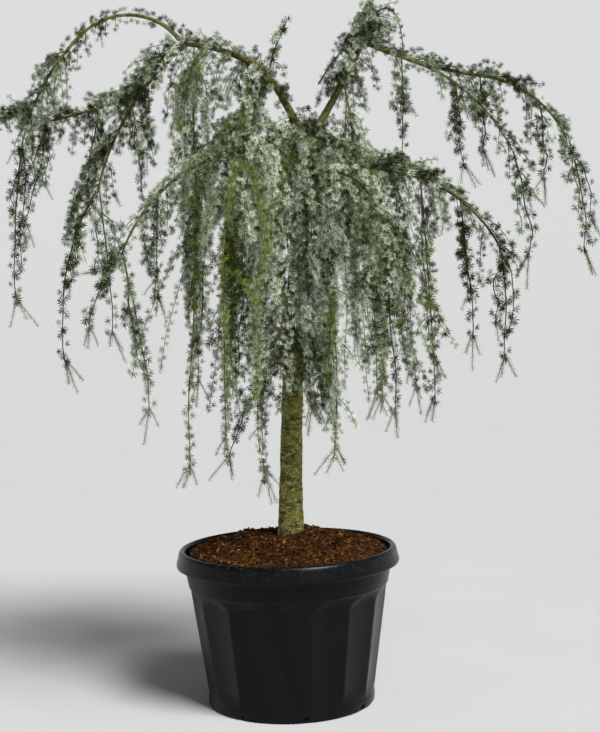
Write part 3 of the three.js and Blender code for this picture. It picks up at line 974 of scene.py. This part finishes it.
# odds of the colours, spacing of the rosettes, reach of their spurs, their size, length of the longest spray
OUTER_DRESS = ((0.10, 0.36, 0.50, 0.04), 0.0205, 0.0115, 0.0245, 0.07)
INNER_DRESS = ((0.53, 0.17, 0.21, 0.09), 0.0140, 0.0075, 0.021, 0.17)
FRESH_MASSES = {"left_curtain_outer", "left_long_strand", "right_long_strand", "left_inner_drape"}
OPEN_MASSES = {
    "mid_right_drape", "right_long_drape", "right_curtain_outer", "right_curtain_inner", "mid_right_shoulder",
    "back_right_drape", "back_right_strand",
}
STRAND_ENDS = {
    "trunk_front_curtain": (0.70, 1.0), "front_right_strand": (0.5, 1.0), "front_left_strand": (0.5, 1.0),
}
TUFTS = {
    "right_tuft": 60, "mid_right_shoulder": 8, "left_inner_shoulder": 24, "left_shoulder_tuft": 16,
}


def grow_mass(name, mass):
    """One main strand, long strands as the width allows, and short sprays that arch out of all of them.

    There are (half width / pitch)^2 long strands, and a share of 0.12 more sprays for each of them.
    """
    chance = dice(name)
    half = mass["half"].mean(axis=1).max()
    outer = half < STRAND_HALF
    odds, spacing, spur, size, spray = OUTER_DRESS if outer else INNER_DRESS
    odds = FRESH_ODDS if name in FRESH_MASSES else odds
    pitch = OPEN_STRAND_PITCH if name in OPEN_MASSES else LONG_STRAND_PITCH
    many = 2 if outer else int((half / pitch) ** 2)
    main = strands_in(mass, np.zeros(1), np.ones(1), np.zeros((1, 2)), 0.010, chance)
    long_starts = chance.uniform(0.0, 0.22, many)
    long_ends = chance.uniform(*STRAND_ENDS.get(name, (0.32, 0.92)), many)
    long = strands_in(mass, long_starts, long_ends, 0.85 * disc(chance, many), 0.014, chance)
    stems = np.concatenate([main, long])
    count = max(3, int(mass["length"] * (1 + 0.12 * many) / SPRAY_PITCH))
    ahead, side, rise = frames(stems)
    stem = chance.integers(0, len(stems), count)
    share = chance.uniform(0.03, 0.85, (count, 1))
    place, *ways = (at_share(values[stem], share)[:, 0] for values in (stems, ahead, side, rise))
    out = spokes(*ways, chance.uniform(0, tau, count), 0.3)
    lengths = spray * chance.uniform(0.4, 1.0, count)
    sprays = grow(place, out, lengths, chance.uniform(0.5, 0.95, count), chance)
    for paths, thick, fan, longest, every in (
        (main, MAIN_RADIUS, 3, 0.13, 1), (long, LONG_RADIUS, 2, 0.09, 2), (sprays, SPRAY_RADIUS, 0, 0, 1),
    ):
        kept = add_strands(paths, thick, odds, spacing, spur, size, chance, name)
        if fan and name != "young_shoot":
            tip_shoots(kept[::every], fan, longest, chance)


def grow_tuft(name, mass, count):
    """A bunch: sprays that leave the middle line in all directions and turn down."""
    chance = dice(name + " tuft")
    line = mass["line"][None]
    ahead, side, rise = frames(line)
    share = chance.uniform(0, 0.9, count)
    turn = chance.uniform(0, tau, count)
    place, *ways = (at_share(values, share[None])[0] for values in (line, ahead, side, rise))
    out = spokes(*ways, turn, chance.uniform(0, 1.2, (count, 1)))
    paths = grow(place, out, chance.uniform(0.04, 0.12, count), chance.uniform(0.2, 0.85, count), chance)
    add_strands(paths, SPRAY_RADIUS, TUFT_ODDS, SPRAY_SPACING, SPRAY_SPUR, 0.019, chance, name)


for name, mass in masses.items():
    grow_mass(name, mass)
for name, count in TUFTS.items():
    grow_tuft(name, masses[name], count)
print(sum(len(paths) for paths, *_ in twigs), "strands in the masses")

# %% [markdown]
# The limbs themselves are dressed too. Spurs with rosettes sit straight on the bark, mostly above and below,
# and sprays reach out and hang from it.

# %% Dress the limbs
STUD_ODDS = (0.22, 0.35, 0.37, 0.06)
SPRAY_ODDS = (0.30, 0.32, 0.30, 0.08)
FINGER_ODDS = (0.16, 0.36, 0.45, 0.03)
ARCH_ODDS = (0.15, 0.45, 0.30, 0.10)
ARCH_FORWARD = 0.012


def stud_limb(name, limb, spacing, up):
    """Rosettes on spurs straight on the bark, a share of them above and the others below."""
    chance = dice(name + "_studs")
    count = max(2, int(limb["length"] / spacing))
    shares = (np.arange(count) + chance.uniform(0, 1, count)) / count
    turns = np.where(chance.uniform(0, 1, count) < up, pi / 2, -pi / 2) + chance.normal(0, 0.7, count)
    place, out = around(limb, shares, turns, 0.25)
    thick = np.interp(shares, np.linspace(0, 1, COURSE_POINTS), limb["radii"])
    colour = chance.choice(len(COLOURS), count, p=STUD_ODDS)
    reach = thick + 0.014 * chance.uniform(0.4, 1.3, count)
    add_rosettes(colour, place, out, reach, 0.021 * chance.uniform(0.75, 1.1, count))


def hang_sprays(name, limb, count, longest, shares, forward=0.8, bend=0.5, odds=SPRAY_ODDS):
    """Strands that leave the bark in all directions and turn down."""
    chance = dice(f"{name}_sprays_{shares[0]}_{longest}")
    place, out = around(limb, chance.uniform(*shares, count), chance.uniform(0, tau, count), forward)
    lengths = longest * chance.uniform(0.35, 1.0, count)
    paths = grow(place, out, lengths, chance.uniform(0.7, 0.98, count), chance, bend=bend)
    kept = add_strands(paths, SPRAY_RADIUS, odds, SPRAY_SPACING, SPRAY_SPUR, 0.020, chance, first=0.06)
    tip_shoots(kept[::5], 2, 0.06, chance)


def raise_sprays(name, limb, count, longest, shares):
    """Finger-like sprays that leave the top of a limb, reach ahead and only bend over at their tips."""
    chance = dice(name + "_fingers")
    place, out = around(limb, chance.uniform(*shares, count), pi / 2 + chance.normal(0, 0.5, count), 0.8)
    lengths = longest * chance.uniform(0.5, 1.0, count)
    paths = grow(place, out, lengths, chance.uniform(0.15, 0.6, count), chance)
    add_strands(paths, 0.0022, FINGER_ODDS, 0.0120, 0.006, 0.018, chance, first=0.15)


# limb: spacing of its rosettes, share of them on top, then its sprays: number, longest, where they start
DRESS = {
    "left_leader": (0.06, 0.5, 24, 0.24, (0.0, 0.38)),
    "left_leader_top": (0.010, 0.65, 22, 0.32, (0.0, 1.0)),
    "left_arch_crest": (0.0085, 0.6, 6, 0.09, (0.6, 1.0)),
    "left_arch_fall": (0.011, 0.5, 20, 0.19, (0.0, 1.0)),
    "left_inner_bough": (0.016, 0.5, 26, 0.30, (0.05, 1.0)),
    "left_low_bough": (0.011, 0.6, 18, 0.20, (0.1, 1.0)),
    "mid_left_bough": (0.015, 0.6, 22, 0.30, (0.1, 1.0)),
    "mid_left_fall": (0.016, 0.5, 14, 0.22, (0.0, 1.0)),
    "right_leader": (0.06, 0.5, 24, 0.28, (0.0, 0.32)),
    "right_arch_bough": (0.014, 0.6, 11, 0.20, (0.05, 1.0)),
    "right_arch_fall": (0.012, 0.6, 13, 0.15, (0.0, 1.0)),
    "right_second_bough": (0.015, 0.5, 11, 0.16, (0.0, 1.0)),
    "mid_right_bough": (0.015, 0.6, 13, 0.26, (0.1, 1.0)),
    "mid_right_fall": (0.016, 0.5, 14, 0.20, (0.0, 1.0)),
    "front_left_bough": (0.010, 0.6, 34, 0.38, (0.05, 1.0)),
    "front_right_bough": (0.012, 0.6, 20, 0.32, (0.05, 1.0)),
    "back_left_bough": (0.014, 0.6, 30, 0.38, (0.1, 1.0)),
    "back_right_bough": (0.016, 0.6, 22, 0.34, (0.1, 1.0)),
}
for name, (spacing, up, *sprays) in DRESS.items():
    stud_limb(name, limbs[name], spacing, up)
    hang_sprays(name, limbs[name], *sprays)

# the leaders are bare half way up and clothed again near their tops
hang_sprays("left_leader", limbs["left_leader"], 18, 0.16, (0.66, 1.0))
hang_sprays("right_leader", limbs["right_leader"], 30, 0.15, (0.60, 1.0), 0.4)

# limb: number of its fingers, length of the longest, where they start
FINGERS = {
    "left_leader_top": (9, 0.08, (0.0, 0.9)),
    "left_arch_crest": (7, 0.05, (0.05, 0.95)),
    "left_arch_fall": (9, 0.11, (0.0, 0.8)),
    "left_inner_bough": (10, 0.14, (0.0, 0.9)),
    "left_low_bough": (12, 0.13, (0.1, 0.95)),
    "mid_left_bough": (10, 0.12, (0.1, 0.95)),
    "right_arch_bough": (13, 0.10, (0.02, 0.95)),
    "right_arch_fall": (10, 0.10, (0.0, 0.9)),
    "right_second_bough": (5, 0.09, (0.1, 0.8)),
    "mid_right_bough": (15, 0.15, (0.15, 1.0)),
}
for name, (count, longest, shares) in FINGERS.items():
    raise_sprays(name, limbs[name], count, longest, shares)

# limb: start, crown and end of a small arched twig on it, as places across and up
ARCHES = {
    "right_leader": ((0.158, 2.195), (0.242, 2.305), (0.268, 2.285)),
    "right_arch_bough": ((0.290, 2.300), (0.365, 2.350), (0.450, 2.300)),
    "right_tuft": ((0.357, 2.430), (0.432, 2.440), (0.462, 2.297)),
}


def arch_twig(name, places):
    """A knobby twig bent over three places, at its limb's depth.

    The curve is (1 - t)^2 start + 2 t (1 - t) pull + t^2 end, and the pull is 2 crown - (start + end) / 2, so
    that it passes through the crown half way.
    """
    line = (limbs.get(name) or masses[name])["line"]
    start, crown, end = (np.array([across, 0, up]) for across, up in places)
    pull = 2 * crown - (start + end) / 2
    share = np.linspace(0, 1, STRAND_POINTS)[:, None]
    path = (1 - share) ** 2 * start + 2 * share * (1 - share) * pull + share ** 2 * end
    nearest = np.linalg.norm(line[:, None, ::2] - path[None, :, ::2], axis=-1).argmin(axis=0)
    path[:, 1] = line[nearest, 1].mean() - ARCH_FORWARD
    add_strands(path[None], MAIN_RADIUS, ARCH_ODDS, 0.0085, 0.004, 0.013, dice(name + " arch"))


for name, places in ARCHES.items():
    arch_twig(name, places)

# the head of the trunk throws a fountain of long sprays, and shorter ones hang round the stem below it:
# their number, the longest, where they start, how far they lean ahead, their bend, and odds of the colours
STEM_SPRAYS = (
    (36, 0.60, (0.94, 1.0), 0.9, 0.5, (0.66, 0.20, 0.06, 0.08)),
    (54, 1.05, (0.94, 1.0), 0.7, 0.2, (0.72, 0.14, 0.04, 0.10)),
    (30, 0.55, (0.62, 0.93), 0.2, 0.3, (0.50, 0.22, 0.14, 0.14)),
    (16, 0.40, (0.50, 0.64), 0.2, 0.3, (0.42, 0.26, 0.22, 0.10)),
)
for sprays in STEM_SPRAYS:
    hang_sprays("trunk", trunk, *sprays)
print(sum(len(paths) for paths, *_ in twigs), "strands in all, and", sum(map(len, shoots)), "shoots at tips")

# %% [markdown]
# ## Needles
#
# A needle is a narrow kite of two triangles with a slight keel, about two centimetres long. A rosette holds
# eighteen of them on a spur, spread like a shuttlecock, and each is wider than a real one so that fewer are
# needed. Instances of an object would be lighter, but they have to become real meshes in the end, so the
# copies are multiplied out as arrays from the start. Each needle is dark in the heart of its rosette, where
# little light gets in, and pale at its tip. A number on each corner says how far along the needle it is, so
# the colour follows every needle whichever way it points.

# %% Needle shapes
# where along a needle it is widest
CORNER_SHARE = 0.58


def needle_cluster(count, low, high, width, shorter=0.25):
    """Needles round +Z, spread evenly over the cap between the angles low and high from it.

    The cosine of the tilt t goes in even steps, and each needle's turn p is a golden angle past the last.
    The tip is at (sin t cos p, sin t sin p, cos t), and the needles are up to a share of shorter less long.
    The kite's corners are past half way, half a width to each side, and drop a little to make the keel.
    """
    share = (np.arange(count) + 0.5) / count
    tilt = np.arccos(cos(low) + (cos(high) - cos(low)) * share)
    turn = np.arange(count) * GOLDEN_TURN
    long = 1 - shorter * (np.arange(count) * 0.37 % 1)
    tip = np.stack([np.sin(tilt) * np.cos(turn), np.sin(tilt) * np.sin(turn), np.cos(tilt)], -1)
    tip = tip * long[:, None]
    across = np.stack([-np.sin(turn), np.cos(turn), 0 * turn], -1) * width / 2
    keel = CORNER_SHARE * tip + (0, 0, -0.25 * width)
    kites = np.stack([keel + across, tip, keel - across], 1)
    points = np.concatenate([np.zeros((1, 3)), kites.reshape(-1, 3)])
    corner = 1 + 3 * np.arange(count)[:, None, None]
    triangles = np.array([(0, 2, 1), (0, 1, 0)]) + corner
    triangles[:, :, 0] = 0
    return points, triangles.reshape(-1, 3)


def axes_along(ahead, roll):
    """Square directions whose third is ahead, turned about it by roll."""
    spare = np.where(np.abs(ahead[:, 2:]) < 0.8, [[0, 0, 1.0]], [[1.0, 0, 0]])
    first = unit(np.cross(spare, ahead))
    second = np.cross(ahead, first)
    turned = first * np.cos(roll)[:, None] + second * np.sin(roll)[:, None]
    return np.stack([turned, np.cross(ahead, turned), ahead], 1)


# %% Needle finishes
ALONG_NEEDLE = "along_needle"
NEEDLE_COLOURS = {
    "pale": ((0.42, 0.49, 0.34), (0.73, 0.78, 0.63)),
    "blue": ((0.055, 0.088, 0.034), (0.37, 0.45, 0.28)),
    "deep": ((0.006, 0.011, 0.001), (0.046, 0.066, 0.013)),
    "young": ((0.060, 0.090, 0.009), (0.23, 0.29, 0.050)),
    "shoot": ((0.035, 0.055, 0.010), (0.15, 0.20, 0.060)),
}
NEEDLE_GLOSS = {"pale": 0.25, "blue": 0.2, "deep": 0.07, "young": 0.12, "shoot": 0.1}
HEART_SHADE = [(0.0, (0.16, 0.19, 0.12)), (0.88, (1.28, 1.28, 1.28))]


def needle_finish(colour):
    """Waxy needles: the bloom comes and goes over centimetres and millimetres, and the heart is shaded."""
    low, high = NEEDLE_COLOURS[colour]
    material, tree, shader = new_finish(f"needles_{colour}", 0.55, NEEDLE_GLOSS[colour])
    bloom = object_noise(tree, 34, 3)
    fine = object_noise(tree, 330, 2)
    mixed = mix_colour(tree, 0.4, bloom, fine)
    coloured = colour_ramp(tree, mixed, [(0.38, low), (0.62, high)])
    along = tree.nodes.new("ShaderNodeAttribute")
    along.attribute_name = ALONG_NEEDLE
    shade = colour_ramp(tree, along.outputs["Fac"], HEART_SHADE)
    tree.links.new(mix_colour(tree, 1.0, coloured, shade, "MULTIPLY"), shader.inputs["Base Color"])
    return material


def mark_needles(piece, needles):
    """Gives each corner its share of the way along its needle: 0 in the heart, 1 at the tip."""
    one = np.concatenate([[0.0], np.tile([CORNER_SHARE, 1.0, CORNER_SHARE], needles)])
    marks = piece.data.attributes.new(ALONG_NEEDLE, "FLOAT", "POINT")
    marks.data.foreach_set("value", np.tile(one, len(piece.data.vertices) // len(one)).astype(np.float32))


# %% Set the needles
NEEDLES = 18
NEEDLE_SPREAD = (radians(8), radians(88))
NEEDLE_WIDTH = 0.125
MOST_TRIANGLES = 190000


def set_needles(colour):
    """All rosettes of one colour, as pieces that stay under the limit of triangles."""
    parts = rosettes[colour]
    place, out, reach, scale = (np.concatenate([part[index] for part in parts]) for index in range(4))
    template, triangles = needle_cluster(NEEDLES, *NEEDLE_SPREAD, NEEDLE_WIDTH)
    axes = axes_along(out, dice(colour).uniform(0, tau, len(place)))
    hearts = place + out * reach[:, None]
    per_piece = MOST_TRIANGLES // len(triangles)
    finish = needle_finish(colour)
    for number, first in enumerate(range(0, len(place), per_piece)):
        some = slice(first, first + per_piece)
        points, faces = scattered(template, triangles, hearts[some], axes[some], scale[some])
        piece = make_piece(f"needles_{colour}_{number + 1}", points, faces, finish, "needles", smooth=False)
        mark_needles(piece, NEEDLES)
    owners = sorted({part[4] for part in parts if part[4] and len(part[0])})
    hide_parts(*owners)
    return len(place)


print({colour: set_needles(colour) for colour in COLOURS}, "rosettes")

# %% [markdown]
# ## Twigs, spurs and shoots
#
# The strands are thin tubes, brown where they are old and green where they are young. Every rosette sits on
# a spur, a small cone that starts inside its twig. The shoots at the ends of the strands carry loose needles
# all round instead of rosettes. Curve objects with a round bevel could make the strands too, but thousands
# of them are slow to build, so three-sided rings go along all strands of a colour at once.

# %% Twigs
TWIG_SIDES = 3
SPUR_RADIUS = 0.0013
brown_twig = bark_finish("brown_twig", (0.030, 0.030, 0.010), (0.090, 0.092, 0.026), (0.19, 0.20, 0.07), 60)
green_twig = bark_finish("green_twig", (0.075, 0.085, 0.022), (0.17, 0.18, 0.055), (0.30, 0.32, 0.14), 60)


def joined(skins):
    """Several skins as one, with their triangles renumbered."""
    starts = np.cumsum([0] + [len(points) for points, _ in skins[:-1]])
    points = np.concatenate([points for points, _ in skins])
    return points, np.concatenate([faces + start for (_, faces), start in zip(skins, starts)])


def twig_skins(wanted):
    """Thin tubes over all strands of the wanted colours."""
    skins = []
    for paths, radii, colour in twigs:
        chosen = np.isin(colour, wanted)
        if chosen.any():
            skins.append(close_rings(tube_rings(paths[chosen], radii[chosen], TWIG_SIDES)))
    return joined(skins)


def spur_skins(keys):
    """Three-sided cones from inside the twig to the heart of each rosette: as long as its reach."""
    corner = np.arange(3) * tau / 3
    base = np.stack([np.cos(corner), np.sin(corner), 0 * corner], -1) * SPUR_RADIUS
    cone = np.concatenate([base, [[0, 0, 1]]])
    faces = np.array([(0, 2, 1), (0, 1, 3), (1, 2, 3), (2, 0, 3)])
    parts = [part for key in keys for part in rosettes[key]]
    place, out, reach = (np.concatenate([part[index] for part in parts]) for index in range(3))
    axes = axes_along(out, np.zeros(len(place)))
    axes[:, 2] = axes[:, 2] * reach[:, None]
    return scattered(cone, faces, place, axes, np.ones(len(place)))


YOUNG = COLOURS.index("young")
make_piece("brown_twigs", *twig_skins(range(YOUNG)), brown_twig, "twig_bark")
make_piece("green_twigs", *twig_skins([YOUNG]), green_twig, "twig_bark")
make_piece("spurs", *spur_skins(COLOURS), brown_twig, "twig_bark")

# %% Tip shoots
SHOOT_NEEDLES = 5
SHOOT_SPREAD = (radians(45), radians(80))
SHOOT_NEEDLE_WIDTH = 0.16
SHOOT_NEEDLE_LENGTH = 0.0135
SHOOT_SPACING = 0.007
all_shoots = np.concatenate(shoots)
shoot_radii = np.linspace(0.0017, 0.0009, all_shoots.shape[1])[None] * np.ones(len(all_shoots))[:, None]
make_piece("shoots", *close_rings(tube_rings(all_shoots, shoot_radii, TWIG_SIDES)), green_twig, "twig_bark")


def shoot_needles():
    """Small clusters of needles that lean ahead, every seven millimetres along the shoots."""
    chance = dice("shoot needles")
    ahead, _, _ = frames(all_shoots)
    counts = (path_lengths(all_shoots) / SHOOT_SPACING).astype(int)
    step = np.arange(counts.max())[None]
    share = (step + 0.5) / counts[:, None]
    real = step < counts[:, None]
    place, along = at_share(all_shoots, share)[real], unit(at_share(ahead, share)[real])
    template, triangles = needle_cluster(SHOOT_NEEDLES, *SHOOT_SPREAD, SHOOT_NEEDLE_WIDTH)
    axes = axes_along(along, chance.uniform(0, tau, len(place)))
    size = SHOOT_NEEDLE_LENGTH * chance.uniform(0.8, 1.2, len(place))
    return scattered(template, triangles, place, axes, size)


shoot_finish = needle_finish("shoot")
shoot_piece = make_piece("shoot_needles", *shoot_needles(), shoot_finish, "needles", smooth=False)
mark_needles(shoot_piece, SHOOT_NEEDLES)

# %% [markdown]
# ## Floor and light
#
# The set is a plain pale floor that runs on past where it can be seen, under an even pale sky, so that no
# edge or corner shows behind the tree. Most of the light comes from a wide sun high on the right, which is
# just as strong all over the floor and throws a soft shadow. A large lamp could do the same, but it would
# leave a bright patch on so wide a floor. A small lamp near the camera adds a little gloss to the pot and
# the needles.

# %% Floor and lights
FLOOR_SIZE = 240.0


def make_floor():
    """A large square at the level that the pot stands on."""
    corners = np.array([(-1, -1, 0), (1, -1, 0), (1, 1, 0), (-1, 1, 0)]) * (FLOOR_SIZE / 2)
    mesh = bpy.data.meshes.new("floor")
    mesh.from_pydata(corners.tolist(), [], [(0, 1, 2, 3)])
    material, tree, shader = new_finish("pale_floor", 0.9, 0.0)
    pale, paler = (0.473, 0.475, 0.472), (0.485, 0.487, 0.484)
    tone = colour_ramp(tree, object_noise(tree, 1.5, 3), [(0.3, pale), (0.7, paler)])
    tree.links.new(tone, shader.inputs["Base Color"])
    mesh.materials.append(material)
    floor = bpy.data.objects.new("floor", mesh)
    bpy.context.scene.collection.objects.link(floor)
    return floor


def add_light(name, kind, place, target, power):
    """A light at a place that shines towards its target."""
    data = bpy.data.lights.new(name, kind)
    data.energy = power
    light = bpy.data.objects.new(name, data)
    light.location = place
    light.rotation_euler = (Vector(target) - Vector(place)).to_track_quat("-Z", "Y").to_euler()
    bpy.context.scene.collection.objects.link(light)
    return data


make_floor()
high_light = add_light("high_light", "SUN", (0.9, -1.1, 1.7), (0, 0, 0), 5.1)
high_light.angle = radians(24)
key_light = add_light("key_light", "AREA", (2.2, -4.0, 3.2), (0, 0, 1.0), 26)
key_light.size = 0.9
print("a sun of", high_light.energy, "W/m2 and a lamp of", key_light.energy, "W")

# %% The sky
def make_sky():
    """Pale light round the horizon that dims overhead, so that the lights still model the tree."""
    world = bpy.data.worlds.new("pale_sky")
    world.use_nodes = True
    tree = world.node_tree
    place = tree.nodes.new("ShaderNodeTexCoord")
    split = tree.nodes.new("ShaderNodeSeparateXYZ")
    tree.links.new(place.outputs["Generated"], split.inputs["Vector"])
    sky = colour_ramp(tree, split.outputs["Z"], [
        (0.0, (0.70, 0.71, 0.70)), (0.27, (0.72, 0.73, 0.73)), (0.36, (0.14, 0.145, 0.15)),
    ])
    tree.links.new(sky, tree.nodes["Background"].inputs["Color"])
    tree.nodes["Background"].inputs["Strength"].default_value = 1.0
    bpy.context.scene.world = world


make_sky()
bpy.context.scene.view_settings.view_transform = "Standard"
